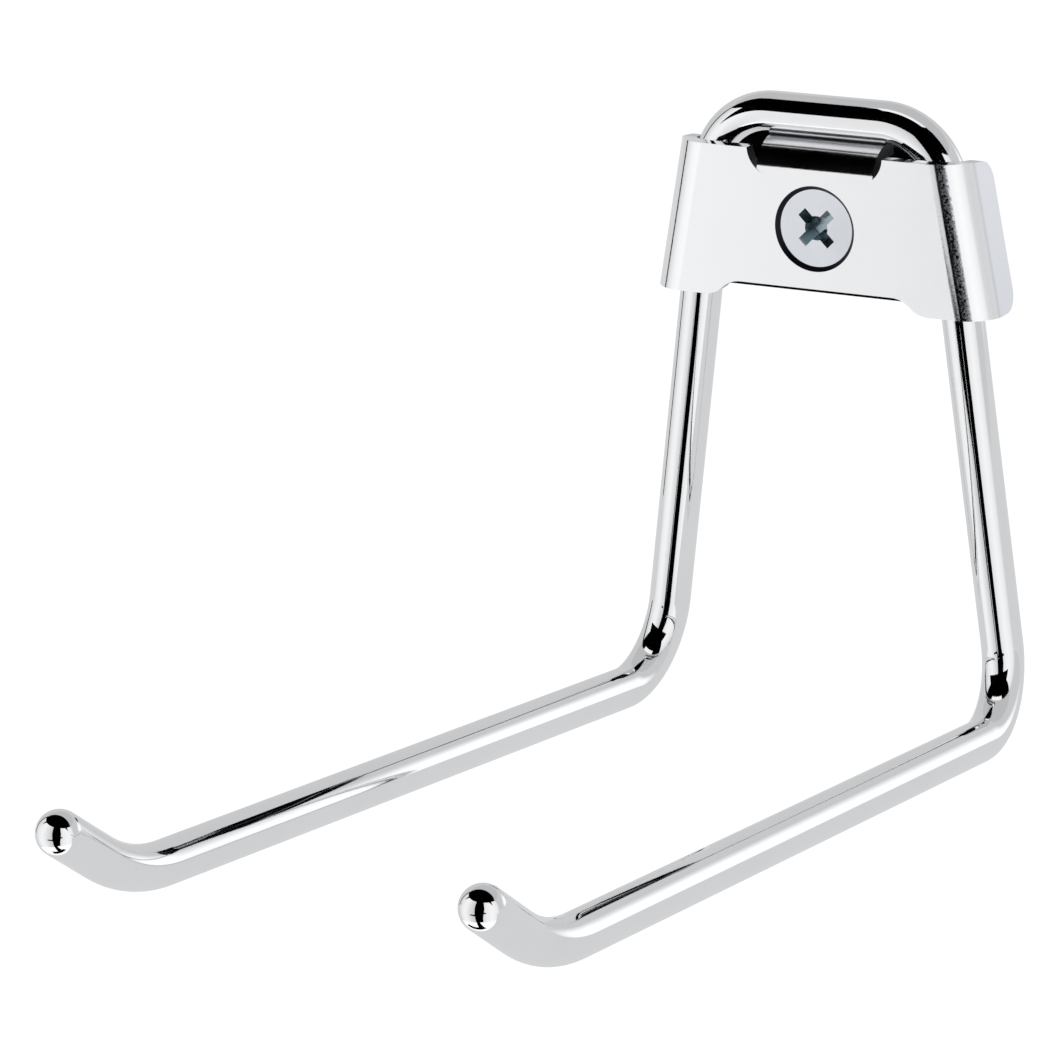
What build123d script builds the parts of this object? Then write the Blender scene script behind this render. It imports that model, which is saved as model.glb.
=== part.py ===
from build123d import *
from math import atan2, cos, pi, radians, sin, tan
import os

os.makedirs("parts", exist_ok=True)

# Two-pronged storage hook for a wall.
# One round bar is bent into a pair of prongs joined by a bar across the top.
# A pressed clamp plate straddles the bar and one countersunk screw holds it to the wall.
# The wall is the plane Y = 0, the prongs point to -Y, and the screw axis is X = 0, Z = 0.

# Round bar
BAR_D = 6.0
TOP_HEIGHT = 15.0
TOP_HALF_WIDTH = 17.1
LEG_DROP = 85.8
FOOT_HALF_WIDTH = 28.0
SHOULDER_RADIUS = 9.8
FOOT_RADIUS = 11.0
PRONG_LENGTH = 140.0
PRONG_RISE = 6.3
PRONG_SPREAD = 0.6
TIP_RADIUS = 30.0
TIP_LENGTH = 17.6
TIP_ANGLE = 36.0

# Clamp plate
SHEET = 2.0
BACK_GAP = 1.5
SIDE_CLEARANCE = 0.1
SIDE_FLARE = 3.2
TOP_EDGE = 10.8
LOBE_EDGE = -11.0
WEB_EDGE = -8.7
WEB_HALF_WIDTH = 11.8
LOBE_HALF_WIDTH = 17.4
REAR_CORNER = 3.0
TONGUE_OVERHANG = 0.5
TONGUE_CORNER = 1.2
SEAT_GAP = 0.03
NOTCH_GAP = 1.5
NOTCH_CORNER = 4.0

# Countersunk screw
HEAD_D = 11.1
HEAD_ANGLE = 90.0
HEAD_DEPTH = 0.6
NECK_D = 4.2
NECK_LENGTH = 4.6
CORE_D = 3.6
SCREW_LENGTH = 40.0
POINT_LENGTH = 5.0
POINT_D = 0.5
RECESS_SPAN = 6.3
RECESS_WING = 1.5
RECESS_DEPTH = 2.9
RECESS_FLOOR_SPAN = 3.2
RECESS_FLOOR_WING = 1.0
RECESS_CENTRE_D = 3.5
RECESS_FLOOR_D = 1.6

# How far cutting profiles run past the faces they cut
SLACK = 1.0

# Sizes that follow from the others
bar_r = BAR_D / 2
bar_y = -(BACK_GAP + bar_r)
plate_back = bar_y - bar_r
plate_front = plate_back - SHEET
bend_radius = bar_r + SHEET
leg_splay = atan2(FOOT_HALF_WIDTH - TOP_HALF_WIDTH, LEG_DROP)
side_splay = leg_splay + radians(SIDE_FLARE)
shoulder_reach = SHOULDER_RADIUS / tan((pi / 2 + leg_splay) / 2)
tongue_half_width = TOP_HALF_WIDTH - shoulder_reach + TONGUE_OVERHANG
ledge_top = TOP_HEIGHT - bar_r - SEAT_GAP
tongue_start = ledge_top - bend_radius
tongue_end = bar_y + bar_r
bend_y = plate_front + bend_radius
head_r = HEAD_D / 2
head_slope = tan(radians(HEAD_ANGLE / 2))
sink_r = head_r + HEAD_DEPTH * head_slope
sink_back_r = sink_r - SHEET * head_slope


def rounded_corner(before, corner, after, radius):
    # Start, middle and end of the arc that rounds one corner of the bar's centre line
    a = (before - corner).normalized()
    b = (after - corner).normalized()
    half = radians(a.get_angle(b) / 2)
    reach = radius / tan(half)
    centre = corner + (a + b).normalized() * (radius / sin(half))
    middle = centre + (corner - centre).normalized() * radius
    return corner + a * reach, middle, corner + b * reach


def direction(side, elevation):
    # Unit vector outward along one prong at an elevation above level
    level = cos(radians(elevation))
    across = side * sin(radians(PRONG_SPREAD)) * level
    return Vector(across, -cos(radians(PRONG_SPREAD)) * level, sin(radians(elevation)))


def corners(side):
    # Corner points of one half of the bar's centre line, from the tip to the shoulder
    shoulder = Vector(side * TOP_HALF_WIDTH, bar_y, TOP_HEIGHT)
    foot = Vector(side * FOOT_HALF_WIDTH, bar_y, TOP_HEIGHT - LEG_DROP)
    nose = foot + direction(side, PRONG_RISE) * PRONG_LENGTH
    tip = nose + direction(side, TIP_ANGLE) * TIP_LENGTH
    return [tip, nose, foot, shoulder]


def side_at(height, inset):
    # Half width of the clamp channel at a height, inset from its outer face.
    # Its inner face clears the leg where the shoulder begins, and flares from there down.
    widest = TOP_HEIGHT - shoulder_reach * cos(leg_splay)
    leg_axis = TOP_HALF_WIDTH + shoulder_reach * sin(leg_splay)
    inner = leg_axis + bar_r / cos(leg_splay) + SIDE_CLEARANCE
    return inner + (SHEET - inset) / cos(side_splay) + (widest - height) * tan(side_splay)


def channel_outline(low, high, inset):
    # Outline of the channel between two heights, wider at the bottom
    low_x = side_at(low, inset)
    high_x = side_at(high, inset)
    return [(-low_x, low), (low_x, low), (high_x, high), (-high_x, high)]


def bends_at(part, depth):
    # The two upright bend lines of the channel on one face
    upright = part.edges().filter_by(lambda e: abs(e.center().Y - depth) < 0.01)
    return upright.filter_by(lambda e: abs(e.center().X) > TOP_HALF_WIDTH)


# Bar: centre line from the left tip over the top to the right tip, then a round section along it
left = corners(-1)
right = corners(1)
right.reverse()
points = left + right
radii = [TIP_RADIUS, FOOT_RADIUS, SHOULDER_RADIUS]
radii = radii + radii[::-1]

with BuildPart() as hook_bar:
    with BuildLine() as centre_line:
        here = points[0]
        for i, radius in enumerate(radii):
            start, middle, end = rounded_corner(points[i], points[i + 1], points[i + 2], radius)
            Line(here, start)
            ThreePointArc(start, middle, end)
            here = end
        Line(here, points[-1])
    with BuildSketch(Plane(origin=points[0], z_dir=points[1] - points[0])):
        Circle(bar_r)
    sweep()
    with Locations(points[0], points[-1]):
        Sphere(bar_r)

# Clamp plate: a shallow channel that narrows upward, closed in front and open at the back
from_face = (Align.CENTER, Align.CENTER, Align.MIN)
front_depth = -plate_front
front_plane = Plane(origin=(0, plate_front, 0), x_dir=(1, 0, 0), z_dir=(0, -1, 0))

with BuildPart() as clamp_plate:
    with BuildSketch(Plane.XZ):
        with BuildLine():
            Polyline(channel_outline(LOBE_EDGE, TOP_EDGE, 0), close=True)
        make_face()
    extrude(amount=front_depth)
    fillet(bends_at(clamp_plate, plate_front), bend_radius)
    with BuildSketch(Plane.XZ):
        with BuildLine():
            Polyline(channel_outline(LOBE_EDGE - SLACK, TOP_EDGE + SLACK, SHEET), close=True)
        make_face()
    extrude(amount=front_depth - SHEET, mode=Mode.SUBTRACT)
    fillet(bends_at(clamp_plate, plate_back), bar_r)
    # Side outline: the top edge falls toward the wall and the rear corners are rounded
    rear_top = TOP_EDGE - (front_depth - bend_radius) * tan(side_splay)
    with BuildSketch(Plane.YZ) as side_outline:
        with BuildLine():
            Polyline(
                (plate_front - SLACK, LOBE_EDGE),
                (plate_front - SLACK, TOP_EDGE),
                (plate_front + bend_radius / 2, TOP_EDGE),
                (0, rear_top),
                (0, LOBE_EDGE),
                close=True,
            )
        make_face()
        fillet(side_outline.vertices().group_by(Axis.X)[-1], REAR_CORNER)
    extrude(amount=FOOT_HALF_WIDTH, both=True, mode=Mode.INTERSECT)
    # Lower edge: the web between the legs is shorter than the two lobes that cover them
    with BuildSketch(front_plane):
        with BuildLine():
            step = WEB_EDGE - LOBE_EDGE
            half_step = (LOBE_HALF_WIDTH - WEB_HALF_WIDTH) / 2
            Line((-WEB_HALF_WIDTH, WEB_EDGE), (WEB_HALF_WIDTH, WEB_EDGE))
            for side in (-1, 1):
                turn_point = (side * (WEB_HALF_WIDTH + half_step), WEB_EDGE - step / 2)
                low_point = (side * LOBE_HALF_WIDTH, LOBE_EDGE)
                TangentArc((side * WEB_HALF_WIDTH, WEB_EDGE), turn_point, tangent=(side, 0))
                TangentArc(low_point, turn_point, tangent=(-side, 0))
                Line(low_point, (side * LOBE_HALF_WIDTH, LOBE_EDGE - SLACK))
            Line((-LOBE_HALF_WIDTH, LOBE_EDGE - SLACK), (LOBE_HALF_WIDTH, LOBE_EDGE - SLACK))
        make_face()
    extrude(amount=-(SHEET + SLACK), mode=Mode.SUBTRACT)
    # Notch in the top edge, with the tongue bent back out of it to carry the bar
    notch_half = tongue_half_width + NOTCH_GAP
    with BuildSketch(front_plane) as notch:
        with Locations((0, tongue_start)):
            Rectangle(notch_half * 2, TOP_EDGE * 2, align=(Align.CENTER, Align.MIN))
        fillet(notch.vertices().group_by(Axis.Y)[0], NOTCH_CORNER)
    extrude(amount=-(SHEET + SLACK), mode=Mode.SUBTRACT)
    with BuildSketch(Plane.YZ):
        with BuildLine():
            root = tongue_start - SLACK
            ledge_under = ledge_top - SHEET
            Line((plate_back, root), (plate_front, root))
            Line((plate_front, root), (plate_front, tongue_start))
            CenterArc((bend_y, tongue_start), bend_radius, 180, -90)
            Line((bend_y, ledge_top), (tongue_end, ledge_top))
            Line((tongue_end, ledge_top), (tongue_end, ledge_under))
            Line((tongue_end, ledge_under), (bend_y, ledge_under))
            CenterArc((bend_y, tongue_start), bar_r, 90, 90)
            Line((plate_back, tongue_start), (plate_back, root))
        make_face()
    extrude(amount=tongue_half_width, both=True)
    tongue_edges = clamp_plate.edges().filter_by(Axis.Z)
    fillet(tongue_edges.filter_by(lambda e: abs(e.center().Y - tongue_end) < 0.01), TONGUE_CORNER)
    # Countersunk hole for the screw
    with Locations(Plane(origin=(0, plate_front, 0), z_dir=(0, 1, 0))):
        Cone(sink_r, sink_back_r, SHEET, align=from_face, mode=Mode.SUBTRACT)

# Screw: countersunk head seated in the cone, plain neck, slimmer core behind it and a point
head_y = plate_front + HEAD_DEPTH
neck_y = head_y + (head_r - NECK_D / 2) / head_slope
core_y = neck_y + NECK_LENGTH
end_y = head_y + SCREW_LENGTH
head_face = Plane(origin=(0, head_y, 0), x_dir=(1, 0, 0), z_dir=(0, -1, 0))

with BuildPart() as screw:
    with BuildSketch(Plane.XY):
        with BuildLine():
            Polyline(
                (0, head_y),
                (head_r, head_y),
                (NECK_D / 2, neck_y),
                (NECK_D / 2, core_y),
                (CORE_D / 2, core_y + (NECK_D - CORE_D) / 2),
                (CORE_D / 2, end_y - POINT_LENGTH),
                (POINT_D / 2, end_y),
                (0, end_y),
                close=True,
            )
        make_face()
    revolve(axis=Axis.Y)
    # Cross recess: two tapered slots at right angles and a round socket in the middle
    for turn in (45, 135):
        with BuildSketch(head_face):
            Rectangle(RECESS_SPAN, RECESS_WING, rotation=turn)
        with BuildSketch(head_face.offset(-RECESS_DEPTH)):
            Rectangle(RECESS_FLOOR_SPAN, RECESS_FLOOR_WING, rotation=turn)
        loft(mode=Mode.SUBTRACT)
    with Locations(Plane(origin=(0, head_y, 0), z_dir=(0, 1, 0))):
        Cone(RECESS_CENTRE_D / 2, RECESS_FLOOR_D / 2, RECESS_DEPTH, align=from_face, mode=Mode.SUBTRACT)

hook_bar.part.label = "hook_bar"
clamp_plate.part.label = "clamp_plate"
screw.part.label = "screw"
export_step(hook_bar.part, "parts/hook_bar.step")
export_step(clamp_plate.part, "parts/clamp_plate.step")
export_step(screw.part, "parts/screw.step")
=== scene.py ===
# %% [markdown]
# A storage hook in bright plating
#
# The object is a wall hook of three pieces: one round bar bent into two long prongs,
# a pressed clamp plate that straddles the bar, and a countersunk screw.
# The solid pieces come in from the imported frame, already in place, in metres.
# This script gives them their finishes, adds the screw's thread, and builds a small
# studio around them. Bright plating has almost no colour of its own, so most of the
# look is decided by what stands around the hook to be reflected.

# %% Bring in the frame
from math import atan2, cos, pi, radians, sin, tan

import bmesh
import bpy
import numpy as np
from mathutils import Matrix, Vector


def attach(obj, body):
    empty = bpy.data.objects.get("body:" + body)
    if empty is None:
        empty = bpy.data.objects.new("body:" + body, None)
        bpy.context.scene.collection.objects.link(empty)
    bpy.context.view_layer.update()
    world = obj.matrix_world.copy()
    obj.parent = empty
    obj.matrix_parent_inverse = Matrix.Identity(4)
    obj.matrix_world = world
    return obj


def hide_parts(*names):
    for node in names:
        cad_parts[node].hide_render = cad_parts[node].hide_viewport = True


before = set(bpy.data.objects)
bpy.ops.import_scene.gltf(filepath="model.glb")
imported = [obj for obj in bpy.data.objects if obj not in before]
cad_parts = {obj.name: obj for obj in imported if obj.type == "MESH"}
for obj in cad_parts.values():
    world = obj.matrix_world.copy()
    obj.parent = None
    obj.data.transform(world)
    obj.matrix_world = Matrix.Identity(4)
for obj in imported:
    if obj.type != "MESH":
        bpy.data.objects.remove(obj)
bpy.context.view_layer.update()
print("pieces from the frame:", sorted(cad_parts))

# %% [markdown]
# Every new shape here is a sheet of points on a grid. Two numbers, u along the sheet
# and v across it, each run from 0 to 1, and a function turns whole arrays of them into
# x, y and z. One helper joins neighbouring points into four-sided faces, so the shapes
# differ only in their formulas. Blender's own primitives could be bent into the same
# forms, but a formula keeps each measurement visible and easy to change.

# %% A mesh from a grid of points
MM = 0.001


def grid_mesh(name, x, y, z, wrap_v=False):
    """Vertices are the grid's points in row order; each face joins a point to its three
    neighbours at the next u, the next v and both. wrap_v joins the last column to the first."""
    rows, columns = x.shape
    points = np.stack([x, y, z], axis=-1).reshape(-1, 3)
    index = np.arange(rows * columns).reshape(rows, columns)
    if wrap_v:
        index = np.concatenate([index, index[:, :1]], axis=1)
    quads = np.stack([index[:-1, :-1], index[1:, :-1], index[1:, 1:], index[:-1, 1:]], axis=-1)
    quads = quads.reshape(-1, 4)
    mesh = bpy.data.meshes.new(name)
    mesh.vertices.add(len(points))
    mesh.vertices.foreach_set("co", points.astype(np.float32).ravel())
    mesh.loops.add(quads.size)
    mesh.loops.foreach_set("vertex_index", quads.astype(np.int32).ravel())
    mesh.polygons.add(len(quads))
    mesh.polygons.foreach_set("loop_start", np.arange(0, quads.size, 4, dtype=np.int32))
    mesh.polygons.foreach_set("use_smooth", np.ones(len(quads), dtype=bool))
    mesh.update(calc_edges=True)
    mesh.validate()
    piece = bpy.data.objects.new(name, mesh)
    bpy.context.scene.collection.objects.link(piece)
    return piece


print("grid helper ready")

# %% [markdown]
# The finishes are built from nodes, and a few small helpers keep that short to read: one
# adds a node with its settings, one is a single sum, and one changes a range.
# Three surface effects are shared by the finishes. Each is a node group, so that it is
# drawn once and used with different values. A group only gives out heights and masks,
# and the metal itself stays in the material.

# %% Small helpers for node trees


def new_group(name, inputs, outputs):
    """An empty shader group with float inputs that have starting values, and float outputs."""
    tree = bpy.data.node_groups.new(name, "ShaderNodeTree")
    for label, value in inputs.items():
        socket = tree.interface.new_socket(name=label, in_out="INPUT", socket_type="NodeSocketFloat")
        socket.default_value = value
    for label in outputs:
        tree.interface.new_socket(name=label, in_out="OUTPUT", socket_type="NodeSocketFloat")
    return tree, tree.nodes.new("NodeGroupInput"), tree.nodes.new("NodeGroupOutput")


def add(tree, kind, **settings):
    """A node of one kind with its settings; a setting that names an input fills that socket."""
    node = tree.nodes.new(kind)
    for label, value in settings.items():
        if label in node.inputs:
            node.inputs[label].default_value = value
        else:
            setattr(node, label, value)
    return node


def maths(tree, operation, first, second):
    """One Math node. Each side is a number or another node's output."""
    node = tree.nodes.new("ShaderNodeMath")
    node.operation = operation
    for socket, value in zip(node.inputs, (first, second)):
        if isinstance(value, (int, float)):
            socket.default_value = value
        else:
            tree.links.new(value, socket)
    return node.outputs[0]


def remap(tree, value, low, high, to_low, to_high):
    """Straight-line change of one range into another, held at its ends."""
    node = tree.nodes.new("ShaderNodeMapRange")
    tree.links.new(value, node.inputs["Value"])
    for label, number in (("From Min", low), ("From Max", high), ("To Min", to_low), ("To Max", to_high)):
        node.inputs[label].default_value = number
    return node.outputs["Result"]


def own_place(tree):
    """A point's place on its own piece, in metres."""
    return add(tree, "ShaderNodeTexCoord").outputs["Object"]


def material_tree(name):
    """A new material with an empty node tree, and the tree."""
    material = bpy.data.materials.new(name)
    material.use_nodes = True
    material.node_tree.nodes.clear()
    return material, material.node_tree


def close_tree(tree, shader):
    """Sends the last shader of a tree to the material's surface."""
    end = add(tree, "ShaderNodeOutputMaterial")
    tree.links.new(shader.outputs[0], end.inputs["Surface"])


print("node helpers ready")

# %% [markdown]
# Grain is the fine orange peel that plating leaves over rolled or pressed steel, with a
# few small pits. It could be painted as an image, but a noise has no edges and no
# repeats, and it stays sharp however close the camera comes. A smooth noise gives the
# peel, and the middles of Voronoi cells give the pits.

# %% Plating grain
PIT_SHARE = 0.35
grain_group, grain_in, grain_out = new_group(
    "plating_grain", {"Scale": 1500.0, "Pits": 0.2}, ["Height", "Mask"])
fine = add(grain_group, "ShaderNodeTexNoise", Detail=3.0, Roughness=0.55)
pits = add(grain_group, "ShaderNodeTexVoronoi", Randomness=1.0)
for texture in (fine, pits):
    grain_group.links.new(own_place(grain_group), texture.inputs["Vector"])
grain_group.links.new(grain_in.outputs["Scale"], fine.inputs["Scale"])
pit_scale = maths(grain_group, "MULTIPLY", grain_in.outputs["Scale"], PIT_SHARE)
grain_group.links.new(pit_scale, pits.inputs["Scale"])
pit_mask = remap(grain_group, pits.outputs["Distance"], 0.05, 0.16, 1.0, 0.0)
pit_depth = maths(grain_group, "MULTIPLY", pit_mask, grain_in.outputs["Pits"])
height = maths(grain_group, "SUBTRACT", fine.outputs["Fac"], pit_depth)
grain_group.links.new(height, grain_out.inputs["Height"])
grain_group.links.new(pit_mask, grain_out.inputs["Mask"])
print("group:", grain_group.name)

# %% [markdown]
# Scratches are short hairlines from handling, in several directions. A noise that is
# stretched along one axis has long thin contours, and a narrow band round its middle
# value is a set of fine lines. Three such noises are turned three ways, and a coarser
# noise breaks the lines up, so that they start and stop like real ones.

# %% Handling scratches
SCRATCH_TURNS = (0.35, 1.25, 2.30)
SCRATCH_STRETCH = (1.0, 0.045, 0.3)
HAIRLINE = 0.012
scratch_group, scratch_in, scratch_out = new_group(
    "handling_scratches", {"Scale": 260.0, "Amount": 0.5}, ["Height", "Mask"])
lines = None
for turn in SCRATCH_TURNS:
    turned = add(scratch_group, "ShaderNodeMapping")
    turned.inputs["Rotation"].default_value = (turn, turn * 0.7, turn * 1.3)
    turned.inputs["Scale"].default_value = SCRATCH_STRETCH
    streaks = add(scratch_group, "ShaderNodeTexNoise", Detail=1.0, Roughness=0.4)
    scratch_group.links.new(own_place(scratch_group), turned.inputs["Vector"])
    scratch_group.links.new(turned.outputs["Vector"], streaks.inputs["Vector"])
    scratch_group.links.new(scratch_in.outputs["Scale"], streaks.inputs["Scale"])
    off_middle = maths(scratch_group, "SUBTRACT", streaks.outputs["Fac"], 0.5)
    crest = maths(scratch_group, "ABSOLUTE", off_middle, 0.0)
    hairline = remap(scratch_group, crest, 0.0, HAIRLINE, 1.0, 0.0)
    lines = hairline if lines is None else maths(scratch_group, "MAXIMUM", lines, hairline)
breaks = add(scratch_group, "ShaderNodeTexNoise", Scale=90.0, Detail=2.0)
scratch_group.links.new(own_place(scratch_group), breaks.inputs["Vector"])
shown = remap(scratch_group, breaks.outputs["Fac"], 0.52, 0.64, 0.0, 1.0)
broken = maths(scratch_group, "MULTIPLY", lines, shown)
mask = maths(scratch_group, "MULTIPLY", broken, scratch_in.outputs["Amount"])
scratch_group.links.new(mask, scratch_out.inputs["Mask"])
scratch_group.links.new(maths(scratch_group, "MULTIPLY", mask, -1.0), scratch_out.inputs["Height"])
print("group:", scratch_group.name)

# %% [markdown]
# Haze is the cloudy change of gloss that fingers and packing leave on bright metal. One
# even roughness would look like plastic film. A soft noise moves the roughness between
# two values, and the material sets both.

# %% Haze
haze_group, haze_in, haze_out = new_group(
    "gloss_haze", {"Scale": 45.0, "Low": 0.04, "High": 0.09}, ["Roughness", "Mask"])
cloud = add(haze_group, "ShaderNodeTexNoise", Detail=4.0, Roughness=0.6, Distortion=0.4)
haze_group.links.new(own_place(haze_group), cloud.inputs["Vector"])
haze_group.links.new(haze_in.outputs["Scale"], cloud.inputs["Scale"])
level = remap(haze_group, cloud.outputs["Fac"], 0.35, 0.68, 0.0, 1.0)
span = maths(haze_group, "SUBTRACT", haze_in.outputs["High"], haze_in.outputs["Low"])
gloss = maths(haze_group, "ADD", maths(haze_group, "MULTIPLY", level, span), haze_in.outputs["Low"])
haze_group.links.new(gloss, haze_out.inputs["Roughness"])
haze_group.links.new(level, haze_out.inputs["Mask"])
print("group:", haze_group.name)

# %% [markdown]
# All three finishes are the same kind of surface: a metal whose colour is the colour of
# its reflections. They differ in tint, in how sharp the reflection is, and in how coarse
# the grain is. The bar is polished before it is plated and stays mirror-like. The plate
# is pressed from sheet and is a little softer. One function makes them all, so that a
# change to the way the metal is built reaches every piece.

# %% A plated metal from the shared groups
SCRATCH_ROUGHNESS = 0.12
HAZE_TINT, PIT_TINT = 0.5, 0.6


def plated_metal(name, colour, dull_colour, gloss, grain, scratches, bump_depth):
    """A metallic Principled surface. gloss is (low, high) roughness, grain is (scale, pits),
    scratches is (scale, amount), and bump_depth is how deep the relief reads, in metres."""
    material = bpy.data.materials.new(name)
    material.use_nodes = True
    tree = material.node_tree
    metal = tree.nodes["Principled BSDF"]
    metal.inputs["Metallic"].default_value = 1.0
    haze = add(tree, "ShaderNodeGroup", node_tree=haze_group)
    haze.inputs["Low"].default_value, haze.inputs["High"].default_value = gloss
    peel = add(tree, "ShaderNodeGroup", node_tree=grain_group)
    peel.inputs["Scale"].default_value, peel.inputs["Pits"].default_value = grain
    marks = add(tree, "ShaderNodeGroup", node_tree=scratch_group)
    marks.inputs["Scale"].default_value, marks.inputs["Amount"].default_value = scratches
    worn = maths(tree, "MULTIPLY", marks.outputs["Mask"], SCRATCH_ROUGHNESS)
    rough = maths(tree, "ADD", haze.outputs["Roughness"], worn)
    tree.links.new(rough, metal.inputs["Roughness"])
    tint = add(tree, "ShaderNodeMix", data_type="RGBA")
    tint.inputs["A"].default_value = (*colour, 1.0)
    tint.inputs["B"].default_value = (*dull_colour, 1.0)
    dull = maths(tree, "MULTIPLY", haze.outputs["Mask"], HAZE_TINT)
    dull = maths(tree, "MAXIMUM", dull, maths(tree, "MULTIPLY", peel.outputs["Mask"], PIT_TINT))
    tree.links.new(dull, tint.inputs["Factor"])
    tree.links.new(tint.outputs["Result"], metal.inputs["Base Color"])
    relief = maths(tree, "ADD", peel.outputs["Height"], marks.outputs["Height"])
    bump = add(tree, "ShaderNodeBump", Strength=1.0, Distance=bump_depth)
    tree.links.new(relief, bump.inputs["Height"])
    tree.links.new(bump.outputs["Normal"], metal.inputs["Normal"])
    return material, tree, relief, bump


bar_chrome, *_ = plated_metal(
    "bar_chrome", colour=(0.90, 0.905, 0.915), dull_colour=(0.84, 0.85, 0.865),
    gloss=(0.03, 0.06), grain=(700.0, 0.15), scratches=(420.0, 0.35), bump_depth=0.0000016)
plate_plating, plate_tree, plate_relief, plate_bump = plated_metal(
    "plate_plating", colour=(0.965, 0.97, 0.985), dull_colour=(0.92, 0.93, 0.955),
    gloss=(0.07, 0.12), grain=(2400.0, 0.35), scratches=(380.0, 0.12), bump_depth=0.0000035)
print("finishes:", bar_chrome.name, plate_plating.name)

# %% [markdown]
# The plate's colour and gloss change from zone to zone. The right-hand bend carries dark
# grey specks, which are painted reflection: they widen the dark strip that the bend
# reflects. The side walls are rougher than the front, and painted darker as painted shade.
# Faces that the tool cut are darker again, and the sink for the screw's head is painted
# almost black, as painted shade in the crevice round the head. These could be separate
# materials, but their edges would then follow the mesh. Masks from a point's own place can
# start and stop anywhere, so one material blends from zone to zone. Depth is measured along
# the screw, towards the wall.

# %% Duller metal and painted shade by zone


def shade_and_dull_where(tree, mask, colour, roughness):
    """Blends a darker colour and a coarser gloss into a finish wherever the mask is 1. In some zones the
    darker colour is painted shade, and in the right-hand bend painted reflection.
    """
    metal = tree.nodes["Principled BSDF"]
    for label, target in (("Base Color", (*colour, 1.0)), ("Roughness", roughness)):
        source = metal.inputs[label].links[0].from_socket
        kind = "RGBA" if label == "Base Color" else "FLOAT"
        blend = add(tree, "ShaderNodeMix", data_type=kind)
        sockets = [k for k in blend.inputs if k.enabled]
        tree.links.new(mask, sockets[0])
        tree.links.new(source, sockets[1])
        sockets[2].default_value = target
        tree.links.new([k for k in blend.outputs if k.enabled][0], metal.inputs[label])


def screw_place(tree):
    """Distance of a point from the screw's axis, its place across the hook, and its depth
    along the axis. The distance is the length of the point's vector with its Y set to 0."""
    place = own_place(tree)
    flat = add(tree, "ShaderNodeVectorMath", operation="MULTIPLY")
    flat.inputs[1].default_value = (1.0, 0.0, 1.0)
    length = add(tree, "ShaderNodeVectorMath", operation="LENGTH")
    split = add(tree, "ShaderNodeSeparateXYZ")
    tree.links.new(place, flat.inputs[0])
    tree.links.new(place, split.inputs[0])
    tree.links.new(flat.outputs["Vector"], length.inputs[0])
    return length.outputs["Value"], split.outputs["X"], split.outputs["Y"]


def between(tree, value, rise, fall):
    """A mask that rises from 0 to 1 over one range of a value and falls back over another."""
    return maths(tree, "MULTIPLY", remap(tree, value, *rise, 0.0, 1.0), remap(tree, value, *fall, 1.0, 0.0))


print("zone helpers ready")

# %% Plate's bends and side walls
WALL_HAZE_START, WALL_HAZE_FULL = -7.60 * MM, -6.90 * MM
WALL_START, WALL_FULL, WALL_SHARE = -5.80 * MM, -5.35 * MM, 0.85
SPECK_RISE = (-9.38 * MM, -9.30 * MM)
SPECK_FALL = (-8.96 * MM, -8.84 * MM)
SPECK_SIDE = (12.0 * MM, 14.0 * MM)
SPECK_SCALE, SPECK_RELIEF = 3000.0, 1.2
tree = plate_tree
reach, across, depth = screw_place(tree)
past_bend = remap(tree, depth, WALL_HAZE_START, WALL_HAZE_FULL, 0.0, 1.0)
shade_and_dull_where(tree, past_bend, (0.965, 0.97, 0.985), 0.32)
# Side walls: the darker grey blended in past the bend is painted shade.
side_painted_shade = remap(tree, depth, WALL_START, WALL_FULL, 0.0, WALL_SHARE)
shade_and_dull_where(tree, side_painted_shade, (0.66, 0.68, 0.73), 0.30)
# Right-hand bend: the dark grey specks are painted reflection that widens the bend's dark strip. The specks
# also add relief.
in_bend = between(tree, depth, SPECK_RISE, SPECK_FALL)
in_bend = maths(tree, "MULTIPLY", in_bend, remap(tree, across, *SPECK_SIDE, 0.0, 1.0))
speckle = add(tree, "ShaderNodeTexNoise", Scale=SPECK_SCALE, Detail=2.0, Roughness=0.6)
tree.links.new(own_place(tree), speckle.inputs["Vector"])
bend_painted_specks = maths(tree, "MULTIPLY", in_bend, remap(tree, speckle.outputs["Fac"], 0.40, 0.62, 0.0, 1.0))
shade_and_dull_where(tree, bend_painted_specks, (0.34, 0.38, 0.43), 0.38)
speck_relief = maths(tree, "MULTIPLY", bend_painted_specks, SPECK_RELIEF)
tree.links.new(maths(tree, "ADD", plate_relief, speck_relief), plate_bump.inputs["Height"])
print("crazed from", SPECK_RISE[1] / MM, "to", SPECK_FALL[0] / MM, "mm deep")

# %% Plate's cut faces
SINK_RADIUS = 6.15 * MM
SINK_EDGE = 0.05 * MM
cut_face = add(tree, "ShaderNodeAttribute", attribute_name="cut_face")
shade_and_dull_where(tree, maths(tree, "MULTIPLY", cut_face.outputs["Fac"], 0.9), (0.22, 0.23, 0.25), 0.34)
# The countersink is painted almost black: painted shade in the crevice round the screw's head.
sink_painted_shade = remap(tree, reach, SINK_RADIUS - SINK_EDGE, SINK_RADIUS + SINK_EDGE, 1.0, 0.0)
shade_and_dull_where(tree, maths(tree, "MULTIPLY", sink_painted_shade, cut_face.outputs["Fac"]), (0.020, 0.021, 0.030), 0.45)
print("cut edges ready")

# %% [markdown]
# The screw is turned from wire, so its head keeps faint rings round its axis. A wave of
# the distance from the axis draws them. The cross recess is punched, and it is painted
# darker and greenish: painted shade inside the recess. The wave is added to the relief,
# so that the rings catch the light as real grooves do, and not only as a change of colour.

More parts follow.
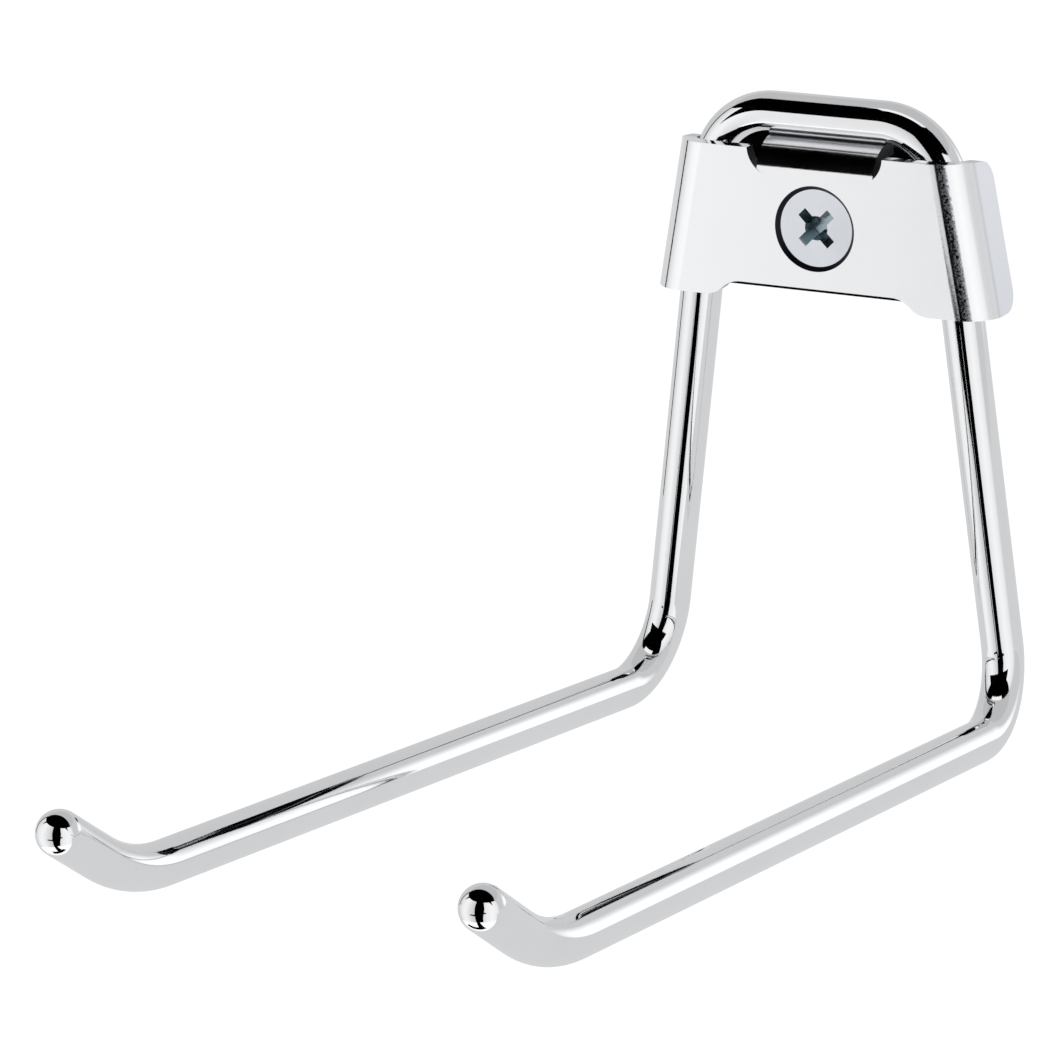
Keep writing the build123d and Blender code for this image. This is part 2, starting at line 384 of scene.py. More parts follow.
# %% Screw finish with turning rings
RING_PITCH, RING_RELIEF = 0.22 * MM, 0.25
RECESS_REACH = (3.3 * MM, 3.6 * MM)
RECESS_RISE = (-8.88 * MM, -8.50 * MM)
RECESS_FALL = (-5.95 * MM, -5.60 * MM)
screw_plating, tree, relief, bump = plated_metal(
    "screw_plating", colour=(0.80, 0.825, 0.87), dull_colour=(0.70, 0.73, 0.78),
    gloss=(0.12, 0.20), grain=(2200.0, 0.3), scratches=(500.0, 0.4), bump_depth=0.0000050)
reach, _, depth = screw_place(tree)
phase = maths(tree, "MULTIPLY", reach, 2 * pi / RING_PITCH)
rings = maths(tree, "MULTIPLY", maths(tree, "SINE", phase, 0.0), RING_RELIEF)
tree.links.new(maths(tree, "ADD", relief, rings), bump.inputs["Height"])
# Painted shade in the cross recess: a darker, greenish grey.
recess_painted_shade = between(tree, depth, RECESS_RISE, RECESS_FALL)
recess_painted_shade = maths(tree, "MULTIPLY", recess_painted_shade, remap(tree, reach, *RECESS_REACH, 1.0, 0.0))
shade_and_dull_where(tree, maths(tree, "MULTIPLY", recess_painted_shade, 0.75), (0.30, 0.40, 0.43), 0.30)
print("finish:", screw_plating.name)

# %% [markdown]
# The three solid pieces of the frame take their finishes here. Their meshes are left as
# they came. Two of them are drawn again below with smoother faces, and the finishes go
# on those copies too.

# %% Put the finishes on the frame's pieces


def finish_piece(piece, material):
    piece.data.materials.clear()
    piece.data.materials.append(material)


finishes = {"hook_bar": bar_chrome, "clamp_plate": plate_plating, "screw": screw_plating}
for node, material in finishes.items():
    finish_piece(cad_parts[node], material)
print("finished:", [(n, len(o.data.polygons)) for n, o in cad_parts.items()])

# %% [markdown]
# The bar in the frame is exact, but it is cut into long thin triangles, and a mirror
# surface shows every one of them as a kink in its reflections. So the same bar is swept
# again here with short, even faces: a centre line of straight runs and true arcs, and a
# ring of points carried along it. The ends are half balls. Subdividing the frame's own
# mesh would keep its long triangles, so a fresh sweep is the cleaner way. First comes the
# centre line, from the same sizes as the solid's.

# %% Centre line of the bar
BAR_RADIUS = 3.0 * MM
TOP_HEIGHT = 15.0 * MM
TOP_HALF_WIDTH = 17.1 * MM
LEG_DROP = 85.8 * MM
FOOT_HALF_WIDTH = 28.0 * MM
BAR_Y = -4.5 * MM
PRONG_LENGTH, PRONG_RISE, PRONG_SPREAD = 140.0 * MM, 6.3, 0.6
TIP_LENGTH, TIP_RISE = 17.6 * MM, 36.0
CORNER_RADII = np.array([30.0, 11.0, 9.8]) * MM
ARC_STEP = radians(2.5)
RUN_STEP = 3.0 * MM


def unit(vector):
    return vector / np.linalg.norm(vector)


def half_corners(side):
    """Corner points from the tip to the shoulder. side is -1 on the left and 1 on the right."""
    shoulder = np.array([side * TOP_HALF_WIDTH, BAR_Y, TOP_HEIGHT])
    foot = np.array([side * FOOT_HALF_WIDTH, BAR_Y, TOP_HEIGHT - LEG_DROP])
    spread = side * radians(PRONG_SPREAD)

    def heading(rise):
        level = cos(radians(rise))
        return np.array([sin(spread) * level, -cos(spread) * level, sin(radians(rise))])

    nose = foot + heading(PRONG_RISE) * PRONG_LENGTH
    return [nose + heading(TIP_RISE) * TIP_LENGTH, nose, foot, shoulder]


def rounded_line(corners, radii):
    """Straight runs joined by arcs. Each arc touches both runs at the radius divided by the
    tangent of half the corner's angle, and turns about the centre on the angle's bisector."""
    pieces = []
    here = corners[0]
    for before, corner, after, radius in zip(corners, corners[1:], corners[2:], radii):
        back, on = unit(before - corner), unit(after - corner)
        half = np.arccos(np.dot(back, on)) / 2
        reach = radius / np.tan(half)
        start, centre = corner + back * reach, corner + unit(back + on) * radius / np.sin(half)
        out, tangent = unit(start - centre), -back
        sweep = pi - 2 * half
        angle = np.linspace(0.0, sweep, int(sweep / ARC_STEP) + 2)[:, None]
        count = max(int(np.linalg.norm(start - here) / RUN_STEP), 2)
        run = np.linspace(0.0, 1.0, count, endpoint=False)[:, None]
        pieces.append(here + run * (start - here))
        pieces.append(centre + radius * (np.cos(angle) * out + np.sin(angle) * tangent))
        here = pieces[-1][-1]
        pieces[-1] = pieces[-1][:-1]
    count = max(int(np.linalg.norm(corners[-1] - here) / RUN_STEP), 2)
    run = np.linspace(0.0, 1.0, count)[:, None]
    pieces.append(here + run * (corners[-1] - here))
    return np.concatenate(pieces)


bar_corners = half_corners(-1) + half_corners(1)[::-1]
centre_line = rounded_line(bar_corners, np.concatenate([CORNER_RADII, CORNER_RADII[::-1]]))
print("centre line points:", len(centre_line))

# %% [markdown]
# A round bar is the same ring all the way along, so the ring is carried along the centre
# line and kept square to it. The ends are half balls, made by rings that shrink while
# they move out. A curve with a bevel would do the same, but it turns its ring at every
# bend, and its ends are flat.

# %% Bar surface
RING = 80
DOME_STEPS = 16


def held_at_ends(rows):
    """The first and last rows are repeated once for each ring of a half ball."""
    return np.concatenate([np.repeat(rows[:1], DOME_STEPS, 0), rows, np.repeat(rows[-1:], DOME_STEPS, 0)])


def swept_bar(name, line, radius):
    """A ring of equal angles is carried along the line, square to it. The ring's first axis
    is the last one with its part along the new direction taken out, so it doesn't twist.
    Each end adds rings that shrink as the cosine while they move out as the sine."""
    ahead = np.gradient(line, axis=0)
    ahead /= np.linalg.norm(ahead, axis=1, keepdims=True)
    first = np.empty_like(line)
    axis = np.array([0.0, 0.0, 1.0])
    for i, way in enumerate(ahead):
        axis = unit(axis - way * np.dot(axis, way))
        first[i] = axis
    second = np.cross(ahead, first)
    dome = np.linspace(0.0, pi / 2, DOME_STEPS + 1)[1:]
    tail = line[0] - radius * np.sin(dome[::-1])[:, None] * ahead[0]
    head = line[-1] + radius * np.sin(dome)[:, None] * ahead[-1]
    centre = np.concatenate([tail, line, head])
    size = np.concatenate([np.cos(dome[::-1]), np.ones(len(line)), np.cos(dome)]) * radius
    first, second = held_at_ends(first), held_at_ends(second)
    turn = np.linspace(0.0, 2 * pi, RING, endpoint=False)
    ring = np.cos(turn)[None, :, None] * first[:, None] + np.sin(turn)[None, :, None] * second[:, None]
    points = centre[:, None] + size[:, None, None] * ring
    return grid_mesh(name, points[..., 0], points[..., 1], points[..., 2], wrap_v=True)


def weld(piece, gap=0.001 * MM):
    """Joins points that lie together and turns the faces outward."""
    shape = bmesh.new()
    shape.from_mesh(piece.data)
    bmesh.ops.remove_doubles(shape, verts=shape.verts, dist=gap)
    bmesh.ops.recalc_face_normals(shape, faces=shape.faces)
    shape.to_mesh(piece.data)
    shape.free()


bar_surface = swept_bar("bar_surface", centre_line, BAR_RADIUS)
weld(bar_surface)
finish_piece(bar_surface, bar_chrome)
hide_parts("hook_bar")
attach(bar_surface, "root")
print("bar faces:", len(bar_surface.data.polygons))

# %% [markdown]
# The plate's outline has a notch, a tongue and a hole, which a simple grid can't carry.
# Its faces are flats and parts of cylinders, though, so the direction of its surface is
# known exactly at every point. The frame's mesh is copied, its points are joined, and
# each corner of each face is given that exact direction. Reflections then run smoothly
# round the bends, however long the triangles are. The faces that were cut by the press
# tool, which no formula of the sheet's two sides covers, are marked as cut.

# %% Plate surface
SHEET = 2.0 * MM
PLATE_FRONT = -9.5 * MM
BEND_OUTER, BEND_INNER = 5.0 * MM, 3.0 * MM
BEND_Y = PLATE_FRONT + BEND_OUTER
TONGUE_START = 6.97 * MM
SIDE_FLARE = 3.2
SHOULDER_RADIUS = 9.8 * MM
SIDE_CLEARANCE = 0.1 * MM
SURFACE_GAP = 0.02 * MM
SAME_WAY = 0.93
SINK_FACING = cos(radians(45.0))

leg_splay = atan2(FOOT_HALF_WIDTH - TOP_HALF_WIDTH, LEG_DROP)
side_splay = leg_splay + radians(SIDE_FLARE)
shoulder_reach = SHOULDER_RADIUS / tan((pi / 2 + leg_splay) / 2)
widest_z = TOP_HEIGHT - shoulder_reach * cos(leg_splay)
inner_x = TOP_HALF_WIDTH + shoulder_reach * sin(leg_splay) + BAR_RADIUS / cos(leg_splay) + SIDE_CLEARANCE
outer_x = inner_x + SHEET / cos(side_splay)


def normalised(rows):
    return rows / np.linalg.norm(rows, axis=-1, keepdims=True)


def channel_normal(points):
    """Outward direction of the channel. It is a mix of the side wall's direction and the
    front's. The side's share is how far a point lies past the bend's axis towards the side
    wall, and the front's share is how far it lies past the axis towards the front."""
    side = np.where(points[..., 0] < 0, -1.0, 1.0)
    wall = np.stack([side * cos(side_splay), 0 * side, 0 * side + sin(side_splay)], axis=-1)
    edge = outer_x * cos(side_splay) + widest_z * sin(side_splay)
    toward_side = np.clip((wall * points).sum(axis=-1) - edge + BEND_OUTER, 0.0, None)
    toward_front = np.clip(BEND_Y - points[..., 1], 0.0, None)
    mix = toward_side[..., None] * wall + toward_front[..., None] * np.array([0.0, -1.0, 0.0])
    return normalised(mix + np.array([0.0, -1e-9, 0.0]))


def tongue_normal(points):
    """Outward direction of the tongue's bend, a cylinder that lies across the plate."""
    rows = np.stack([0 * points[..., 0], points[..., 1] - BEND_Y, points[..., 2] - TONGUE_START], axis=-1)
    return normalised(rows + np.array([0.0, 0.0, 1e-9]))


def countersink_normal(points):
    """The cone faces its axis and the front in equal parts."""
    rows = np.stack([-points[..., 0], 0 * points[..., 1], -points[..., 2]], axis=-1)
    return normalised(normalised(rows + 1e-9) + np.array([0.0, -1.0, 0.0]))


def pressed_copy(name, source):
    """A welded copy of a frame piece with exact directions at the corners of its faces."""
    copy = bpy.data.objects.new(name, source.data.copy())
    bpy.context.scene.collection.objects.link(copy)
    weld(copy, SURFACE_GAP / 10)
    mesh = copy.data
    places = np.empty(len(mesh.vertices) * 3, dtype=np.float32)
    mesh.vertices.foreach_get("co", places)
    places = places.reshape(-1, 3).astype(float)
    normals = np.zeros((len(mesh.loops), 3))
    cut = np.zeros(len(mesh.polygons), dtype=np.float32)
    for face in mesh.polygons:
        loops = list(face.loop_indices)
        points = places[[mesh.loops[k].vertex_index for k in loops]]
        flat = np.array(face.normal)
        middle = points.mean(axis=0)
        from_axis = np.hypot(points[:, 1] - BEND_Y, points[:, 2] - TONGUE_START)
        on_bend = [np.abs(from_axis - r).max() < SURFACE_GAP for r in (BEND_OUTER, BEND_INNER)]
        from_hole = np.hypot(points[:, 0], points[:, 2])
        rule = None
        if any(on_bend) and abs(flat[0]) < 0.2 and middle[2] > TONGUE_START:
            rule = tongue_normal
        elif from_hole.max() < SINK_RADIUS + SURFACE_GAP and abs(flat[1] + SINK_FACING) < 0.1:
            rule = countersink_normal
            cut[face.index] = 1.0
        elif abs(np.dot(flat, channel_normal(middle))) > SAME_WAY:
            rule = channel_normal
        if rule is None:
            normals[loops] = flat
            cut[face.index] = 0.0 if abs(flat[2]) > 0.99 and middle[2] > TONGUE_START else 1.0
        else:
            exact = rule(points)
            normals[loops] = exact * np.sign((exact @ flat))[:, None]
    mesh.polygons.foreach_set("use_smooth", np.ones(len(mesh.polygons), dtype=bool))
    mesh.attributes.new("cut_face", "FLOAT", "FACE").data.foreach_set("value", cut)
    mesh.normals_split_custom_set([tuple(n) for n in normals])
    return copy


plate_surface = pressed_copy("plate_surface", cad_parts["clamp_plate"])
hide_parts("clamp_plate")
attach(plate_surface, "root")
print("plate faces:", len(plate_surface.data.polygons))

# %% [markdown]
# The screw's core is a plain cylinder in the frame. Its thread is a ridge that winds
# round that core: a triangular profile carried along a helix. The ridge grows out of the
# core at one end and sinks into the point at the other. It could be a bump on the core,
# but a real ridge shows at the edge of the screw, where a bump stays flat.

# %% Screw thread
CORE_RADIUS = 1.8 * MM
CREST_RADIUS = 2.7 * MM
THREAD_PITCH = 2.6 * MM
THREAD_START = -0.2 * MM
THREAD_END = 30.0 * MM
POINT_START = 26.1 * MM
POINT_END = 31.1 * MM
POINT_RADIUS = 0.25 * MM
STEPS_PER_TURN = 56
RIDGE_SIDES = np.array([-0.36, -0.20, -0.05, 0.05, 0.20, 0.36]) * THREAD_PITCH
RIDGE_LIFTS = np.array([-0.10, 0.18, 1.0, 1.0, 0.18, -0.10])
GROW_TURNS, FADE_TURNS = 0.5, 1.5
POINT_THINNING = 0.6


def thread_ridge(name):
    """The ridge's profile is a closed ring of six points: two buried in the core, two up
    the flanks and two at the crest. Angle grows with distance along the screw, one turn
    per pitch. Height above the core rises from nothing over the first half turn and falls
    to nothing over the last turn and a half."""
    turns = (THREAD_END - THREAD_START) / THREAD_PITCH
    steps = int(turns * STEPS_PER_TURN) + 1
    along = np.linspace(0.0, 1.0, steps)[:, None]
    side, lift = RIDGE_SIDES[None, :], RIDGE_LIFTS[None, :]
    centre = THREAD_START + along * (THREAD_END - THREAD_START)
    angle = 2 * pi * turns * along
    grow = np.clip(along * turns / GROW_TURNS, 0.0, 1.0)
    grow = grow * np.clip((1.0 - along) * turns / FADE_TURNS, 0.0, 1.0)
    taper = np.clip((centre - POINT_START) / (POINT_END - POINT_START), 0.0, 1.0)
    core = CORE_RADIUS + (POINT_RADIUS - CORE_RADIUS) * taper
    ridge = (CREST_RADIUS - CORE_RADIUS) * (1 - POINT_THINNING * taper)
    radius = core + lift * np.where(lift > 0, grow, 1.0) * ridge
    y = centre + side
    return grid_mesh(name, radius * np.cos(angle), y, radius * np.sin(angle), wrap_v=True)


screw_thread = thread_ridge("screw_thread")
finish_piece(screw_thread, screw_plating)
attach(screw_thread, "root")
print("thread faces:", len(screw_thread.data.polygons))

# %% [markdown]
# Now the studio. Bright metal shows its surroundings, so they are built first and the
# camera last. In front of the hook stand two tall white panels with a dark gap between
# them, and the gap is the thin black line down each leg. A dark flag hangs above and in
# front, and gives the wide black band along the top bar. Behind are grey cloths and one
# bright strip, which shade the sides of the legs and the prongs. A photographer moves
# such panels until the lines fall well. Lamps alone would leave only small hard spots.
# The panels are seen by reflections only, so the picture's background stays plain white.

# %% Panels that only reflections see


def glow(name, strength, shade=(1.0, 1.0, 1.0)):
    """A plain glowing surface of one level."""
    material, tree = material_tree(name)
    close_tree(tree, add(tree, "ShaderNodeEmission", Strength=strength, Color=(*shade, 1.0)))
    return material


def reflection_only(piece, material):
    """Gives a panel its material and hides it from everything but reflections."""
    finish_piece(piece, material)
    piece.visible_camera = False
    piece.visible_diffuse = False
    piece.visible_shadow = False
    piece.visible_transmission = False
    piece.visible_volume_scatter = False
    return piece


def curved_panel(name, material, radius, from_azimuth, to_azimuth, low, high):
    """Part of an upright drum round the origin. u turns it between two azimuths, measured
    from the hook's front towards its right, and v raises it from low to high."""
    azimuth = np.radians(np.linspace(from_azimuth, to_azimuth, 49))[:, None]
    z = np.linspace(low, high, 9)[None, :]
    flat_z = np.broadcast_to(z, (azimuth.size, z.size))
    x = radius * np.sin(azimuth) * np.ones_like(z)
    y = -radius * np.cos(azimuth) * np.ones_like(z)
    return reflection_only(grid_mesh(name, x, y, flat_z), material)


def flat_panel(name, material, corner, along, across):
    """A flat sheet: corner plus u times one edge plus v times the other."""
    u = np.linspace(0.0, 1.0, 5)[:, None]
    v = np.linspace(0.0, 1.0, 5)[None, :]
    parts = [corner[i] + u * along[i] + v * across[i] for i in range(3)]
    return reflection_only(grid_mesh(name, *parts), material)


dark = glow("dark_cloth", 0.0)
grey = glow("grey_cloth", 0.64, (0.985, 0.995, 1.0))
pale_grey = glow("pale_cloth", 0.70, (0.99, 0.995, 1.0))
deep_grey = glow("deep_cloth", 0.55, (0.985, 0.995, 1.0))
print("cloths ready")

# %% [markdown]
# The front panels are parts of one upright drum round the hook, a little over half a
# metre away. Their light fades towards the gap, as paper does at its edge, so the legs
# shade from white to grey beside the black line. The gap isn't a plain slot. It is wide
# in two places, one on each side and at different heights, and the plate's leaning bend
# sees both at once. That makes the strip in the bend wider than the lines on the legs.
# Azimuths are in degrees, from the hook's front towards its right.

# %% Front panels that fade towards the gap
DRUM = 0.52
PANEL_LOW, PANEL_HIGH = -0.60, 0.33
LEFT_END, RIGHT_END = -84.0, 88.0
FADE = ((-90, 0.62), (-74, 0.78), (-57, 0.95), (-38, 1.0), (-28, 0.90), (-16, 0.78), (-2, 0.62),
        (20, 0.80), (36, 0.93), (54, 1.02), (68, 0.97), (80, 0.90), (90, 0.70))
RAMP_TOP = 2.0
GAP_LEFT = ((-0.200, -2.0), (-0.155, -2.0), (-0.150, -20.0), (-0.122, -20.0), (-0.112, -3.0),
            (-0.036, -3.0), (0.070, -4.0))
GAP_RIGHT = ((-0.200, 23.5), (-0.155, 24.0), (-0.150, 24.0), (-0.122, 24.5), (-0.112, 25.0),
             (-0.084, 25.0), (-0.076, 33.0), (-0.044, 33.0), (-0.036, 26.5), (0.070, 28.0))


def lit_by_azimuth(name, stops):
    """A glowing surface whose level follows the azimuth of each of its points, by
    straight lines between stops. A ramp's colours end at 1, so they hold the level over
    RAMP_TOP and the light's strength gives it back."""
    material, tree = material_tree(name)
    split = add(tree, "ShaderNodeSeparateXYZ")
    tree.links.new(own_place(tree), split.inputs[0])
    ahead = maths(tree, "MULTIPLY", split.outputs["Y"], -1.0)
    azimuth = maths(tree, "ARCTAN2", split.outputs["X"], ahead)
    first, last = radians(stops[0][0]), radians(stops[-1][0])
    ramp = add(tree, "ShaderNodeValToRGB")
    tree.links.new(remap(tree, azimuth, first, last, 0.0, 1.0), ramp.inputs[0])
    points = ramp.color_ramp.elements
    while len(points) < len(stops):
        points.new(0.5)
    for point, (at, level) in zip(points, stops):
        point.position = (radians(at) - first) / (last - first)
        point.color = (*[level / RAMP_TOP] * 3, 1.0)
    light = add(tree, "ShaderNodeEmission", Strength=RAMP_TOP)
    tree.links.new(ramp.outputs["Color"], light.inputs["Color"])
    close_tree(tree, light)
    return material


def shaped_panel(name, material, left_edge, right_edge):
    """Part of the drum whose two upright edges are shaped. An edge is a list of heights
    and azimuths, joined by straight lines and held above and below them. u runs from the
    left edge to the right one, and v up the panel."""
    z = np.linspace(PANEL_LOW, PANEL_HIGH, 187)[None, :]
    u = np.linspace(0.0, 1.0, 61)[:, None]
    start, stop = (np.interp(z, *np.transpose(edge)) for edge in (left_edge, right_edge))
    azimuth = np.radians(start + u * (stop - start))
    x, y = DRUM * np.sin(azimuth), -DRUM * np.cos(azimuth)
    return reflection_only(grid_mesh(name, x, y, z + 0 * azimuth), material)


faded = lit_by_azimuth("front_panels", FADE)
shaped_panel("left_panel", faded, ((0.0, LEFT_END),), GAP_LEFT)
shaped_panel("right_panel", faded, GAP_RIGHT, ((0.0, RIGHT_END),))
print("panels round the gap, radius", DRUM)

# %% [markdown]
# Dark and grey cloths fill the rest of the surroundings. The dark drum behind the panels
# shows through the gap and above the panels. The flag is an upright dark sheet with a
# cover that leads back from its top. The grey cloths are a wide drum at the back, a sheet
# overhead and a sheet below. A small dark flag and a strip on the floor carry the gap's
# line on to the lowest part of the ball ends. Each is a flat or rolled sheet, because
# only its edges and its level show.

# %% Dark and grey cloths
BEHIND_PANELS, DARK_HIGH = DRUM + 0.02, 1.20
TENT, TENT_LOW, TENT_HIGH = 1.30, -0.90, 1.60
FLAG_HALF, FLAG_Y, FLAG_LOW, FLAG_HIGH = 0.30, -0.212, 0.072, 0.223
COVER_BACK = -0.060
SHEET_HALF = 1.40
OVERHEAD_Y, OVERHEAD_Z = (-0.037, 1.463), 0.90
BELOW_Y, BELOW_Z = (-0.140, 1.490), -0.157
SMALL_FLAG_X, SMALL_FLAG_Y = (-0.064, 0.026), (-0.196, -0.166)
FLOOR_LINE_X, FLOOR_LINE_Y, FLOOR_LINE_Z = (-0.010, 0.100), (-0.530, -0.180), -0.400


def level_sheet(name, material, x, y, z):
    """A level sheet between two places across the hook and two along it, at one height."""
    return flat_panel(name, material, (x[0], y[0], z), (x[1] - x[0], 0.0, 0.0), (0.0, y[1] - y[0], 0.0))


curved_panel("front_gap", dark, BEHIND_PANELS, -90.0, RIGHT_END, PANEL_LOW, DARK_HIGH)
curved_panel("back_cloth", grey, TENT, 84.0, 282.0, TENT_LOW, TENT_HIGH)
flag_x, sheet_x = (-FLAG_HALF, FLAG_HALF), (-SHEET_HALF, SHEET_HALF)
flag_corner = (-FLAG_HALF, FLAG_Y, FLAG_LOW)
flat_panel("top_flag", dark, flag_corner, (2 * FLAG_HALF, 0.0, 0.0), (0.0, 0.0, FLAG_HIGH - FLAG_LOW))
level_sheet("top_cover", dark, flag_x, (FLAG_Y, COVER_BACK), FLAG_HIGH)
level_sheet("top_cloth", deep_grey, sheet_x, OVERHEAD_Y, OVERHEAD_Z)
level_sheet("floor_cloth", pale_grey, sheet_x, BELOW_Y, BELOW_Z)
level_sheet("floor_flag", dark, SMALL_FLAG_X, SMALL_FLAG_Y, BELOW_Z)
level_sheet("floor_gap", dark, FLOOR_LINE_X, FLOOR_LINE_Y, FLOOR_LINE_Z)

# %% [markdown]
# One bright strip leans at the back on the right. It is the white band along the upper
# side of each prong. Its edges are soft, as the band's are, so its level fades from the
# middle to the grey of the cloth behind it. A hard-edged sheet would draw two sharp lines
# along every prong. The fade is worked out from a point's distance from the middle along
# the strip and across it.

# %% Bright strip at the back, soft at its edges
STRIP_AZIMUTH, STRIP_ELEVATION, STRIP_TILT = 150.0, 1.0, -29.0
STRIP_DISTANCE, STRIP_LONG, STRIP_SHORT = 1.15, 0.90, 0.74
STRIP_LEVEL, CLOTH_LEVEL, STRIP_SOFT = 1.12, 0.64, 0.62


def direction(azimuth, elevation):
    """Unit vector at an azimuth from the front towards the right, and an elevation."""
    a, e = radians(azimuth), radians(elevation)
    return Vector((sin(a) * cos(e), -cos(a) * cos(e), sin(e)))


aim = direction(STRIP_AZIMUTH, STRIP_ELEVATION)
level = aim.cross(Vector((0, 0, 1))).normalized()
upright = level.cross(aim)
long_way = level * cos(radians(STRIP_TILT)) + upright * sin(radians(STRIP_TILT))
short_way = long_way.cross(aim)
middle = aim * STRIP_DISTANCE

soft_strip, tree = material_tree("soft_strip")
shares = []
for way, length in ((long_way, STRIP_LONG), (short_way, STRIP_SHORT)):
    along = add(tree, "ShaderNodeVectorMath", operation="DOT_PRODUCT")
    along.inputs[1].default_value = way
    tree.links.new(own_place(tree), along.inputs[0])
    offset = maths(tree, "SUBTRACT", along.outputs["Value"], middle.dot(way))
    fade = remap(tree, maths(tree, "ABSOLUTE", offset, 0.0), 0.0, length / 2, 1.0, 0.0)
    shares.append(remap(tree, fade, 0.0, STRIP_SOFT, 0.0, 1.0))
share = maths(tree, "MULTIPLY", *shares)
light = add(tree, "ShaderNodeEmission")
tree.links.new(remap(tree, share, 0.0, 1.0, CLOTH_LEVEL, STRIP_LEVEL), light.inputs["Strength"])
close_tree(tree, light)
corner = middle - long_way * STRIP_LONG / 2 - short_way * STRIP_SHORT / 2
flat_panel("back_strip", soft_strip, corner, long_way * STRIP_LONG, short_way * STRIP_SHORT)
print("strip from", tuple(round(v, 3) for v in corner))

# %% [markdown]
# Behind the clamp plate the wall is in deep shade, and through the openings between the
# bar and the plate it reads as black. A small dark card stands there, within the plate's
# outline, in place of a wall, which would darken the white background too. Its back is
# clear, so it can't be seen from behind the hook.

# %% Shade behind the plate
SHADE_X = np.array([-20.5, -14.0, -6.0, 8.0, 13.0, 19.0]) * MM
SHADE_TOP = np.array([9.5, 12.5, 12.5, 12.5, 11.0, 9.0]) * MM
SHADE_LOW, SHADE_Y = -11.86 * MM, 0.4 * MM
shade, tree = material_tree("wall_shade")
side = add(tree, "ShaderNodeNewGeometry")
front = add(tree, "ShaderNodeBsdfDiffuse", Color=(0.004, 0.004, 0.005, 1.0))
clear = add(tree, "ShaderNodeBsdfTransparent")
choice = add(tree, "ShaderNodeMixShader")
tree.links.new(side.outputs["Backfacing"], choice.inputs[0])
tree.links.new(front.outputs[0], choice.inputs[1])
tree.links.new(clear.outputs[0], choice.inputs[2])
close_tree(tree, choice)
v = np.linspace(0.0, 1.0, 3)[None, :]
shade_z = SHADE_LOW + v * (SHADE_TOP[:, None] - SHADE_LOW)
wall_shade = grid_mesh("wall_shade", SHADE_X[:, None] + 0 * v, SHADE_Y + 0 * shade_z, shade_z)
finish_piece(wall_shade, shade)
wall_shade.visible_shadow = False
print("shade normal y:", round(wall_shade.data.polygons[0].normal.y, 2))

# %% [markdown]
# The floor and the sky are plain white. Both are set to a strength of one wherever the
# camera, or a reflection with nothing nearer, looks at them. A brighter lamp could wash
# them white as well, but it would wash the hook too. The floor is still a matt surface
# under a soft lamp, so the hook leaves a faint shadow on it.

# %% Floor
FLOOR_Z = -0.420
FLOOR_HALF = 3.0
FLOOR_LIFT = 0.42
SKY_DIM, SKY_FULL = 0.72, 1.0


def seen_directly(tree):
    """1 for rays from the camera, from glossy reflections or through clear material."""
    path = add(tree, "ShaderNodeLightPath")
    seen = maths(tree, "MAXIMUM", path.outputs["Is Camera Ray"], path.outputs["Is Glossy Ray"])
    return maths(tree, "MAXIMUM", seen, path.outputs["Is Transmission Ray"])


floor_paint, tree = material_tree("floor_paint")
matt = add(tree, "ShaderNodeBsdfDiffuse", Color=(0.80, 0.80, 0.80, 1.0))
lift = add(tree, "ShaderNodeEmission", Color=(1.0, 1.0, 1.0, 1.0))
both = add(tree, "ShaderNodeAddShader")
tree.links.new(maths(tree, "MULTIPLY", seen_directly(tree), FLOOR_LIFT), lift.inputs["Strength"])
tree.links.new(matt.outputs[0], both.inputs[0])
tree.links.new(lift.outputs[0], both.inputs[1])
close_tree(tree, both)
u = np.linspace(-FLOOR_HALF, FLOOR_HALF, 3)[:, None]
v = np.linspace(-FLOOR_HALF, FLOOR_HALF, 3)[None, :]
floor = grid_mesh("floor", u + 0 * v, v + 0 * u, FLOOR_Z + 0 * (u + v))
finish_piece(floor, floor_paint)
print("floor at", FLOOR_Z)

# %% Sky
world = bpy.data.worlds.new("white_sky")
bpy.context.scene.world = world
world.use_nodes = True
tree = world.node_tree
background = tree.nodes["Background"]
background.inputs["Color"].default_value = (1.0, 1.0, 1.0, 1.0)
tree.links.new(remap(tree, seen_directly(tree), 0.0, 1.0, SKY_DIM, SKY_FULL), background.inputs["Strength"])
print("sky ready")

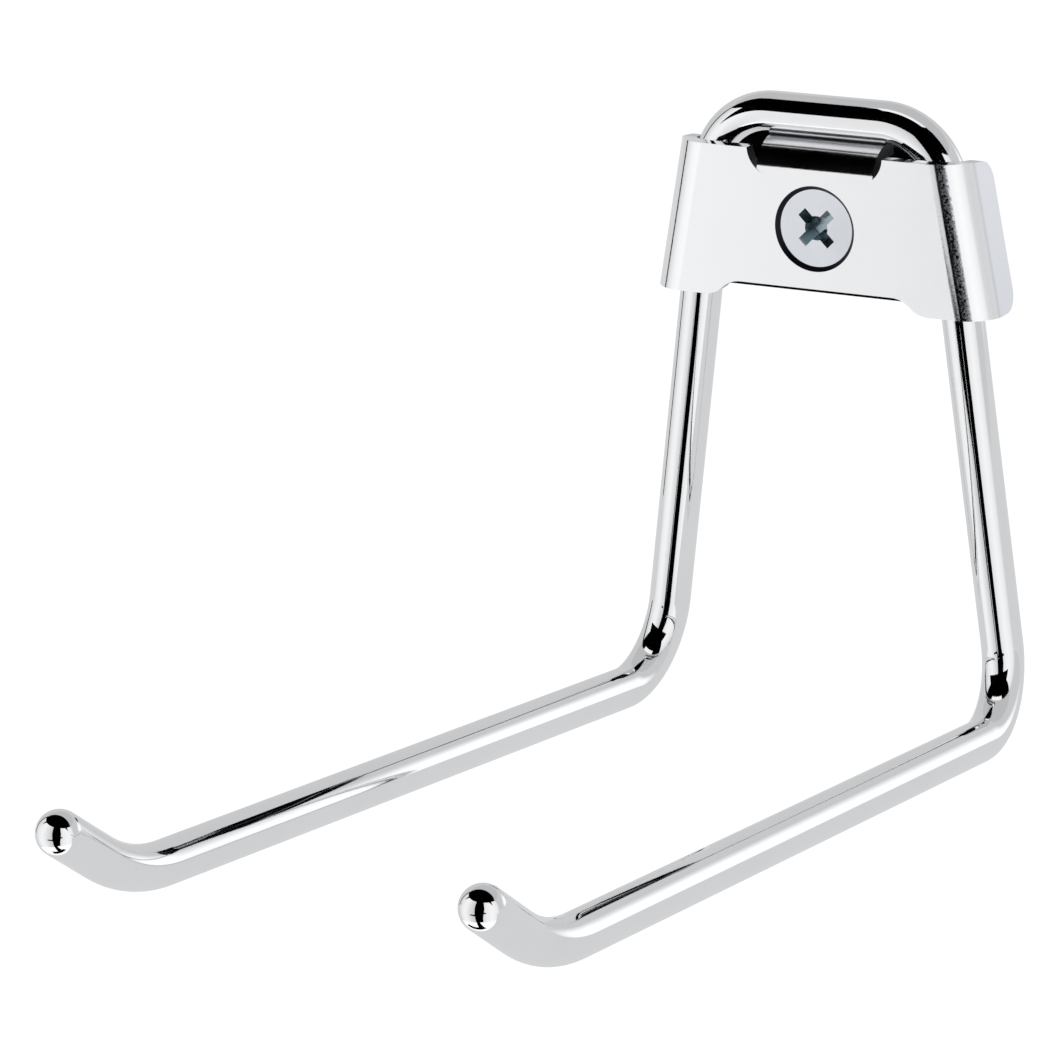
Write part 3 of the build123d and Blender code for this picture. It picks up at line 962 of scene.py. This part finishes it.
# %% Soft lamp for the floor's shadow
LAMP_PLACE = Vector((-0.45, -0.55, 1.25))
LAMP_WIDTH, LAMP_POWER = 0.9, 6.0
lamp = bpy.data.lights.new("soft_lamp", "AREA")
lamp.shape = "DISK"
lamp.size = LAMP_WIDTH
lamp.energy = LAMP_POWER
lamp_holder = bpy.data.objects.new("soft_lamp", lamp)
bpy.context.scene.collection.objects.link(lamp_holder)
lamp_holder.location = LAMP_PLACE
lamp_holder.rotation_mode = "QUATERNION"
lamp_holder.rotation_quaternion = (-LAMP_PLACE).to_track_quat("-Z", "Y")
lamp_holder.visible_glossy = False
print("lamp at", tuple(LAMP_PLACE))

# %% [markdown]
# The camera looks from the right and a little above, through a long lens, so that the
# prongs come forward with little change of width. A short lens close by would swell the
# near tips. It is turned very slightly about its own line of sight, as the photograph
# is. Its three directions are worked out from the angles and put straight into its matrix.

# %% Camera
CAMERA_PLACE = Vector((0.318823, -0.654993, 0.174807))
CAMERA_AZIMUTH, CAMERA_ELEVATION, CAMERA_ROLL = 29.541, 16.84, -1.49
LENS_LENGTH = 179.66
forward = -direction(CAMERA_AZIMUTH, CAMERA_ELEVATION)
right_way = Vector((cos(radians(CAMERA_AZIMUTH)), sin(radians(CAMERA_AZIMUTH)), 0.0))
up_way = right_way.cross(forward)
roll = radians(CAMERA_ROLL)
across = right_way * cos(roll) + up_way * sin(roll)
over = up_way * cos(roll) - right_way * sin(roll)
camera_data = bpy.data.cameras.new("camera")
camera_data.sensor_width = 36.0
camera_data.lens = LENS_LENGTH
camera_data.clip_start, camera_data.clip_end = 0.05, 20.0
camera = bpy.data.objects.new("camera", camera_data)
bpy.context.scene.collection.objects.link(camera)
turn = Matrix((across, over, -forward)).transposed().to_4x4()
camera.matrix_world = Matrix.Translation(CAMERA_PLACE) @ turn
bpy.context.scene.camera = camera
print("camera at", tuple(CAMERA_PLACE), "looking", tuple(round(v, 4) for v in forward))

# %% [markdown]
# Last, the picture's colours are shown through the Standard view transform.

# %% Standard colour view
bpy.context.scene.view_settings.view_transform = "Standard"
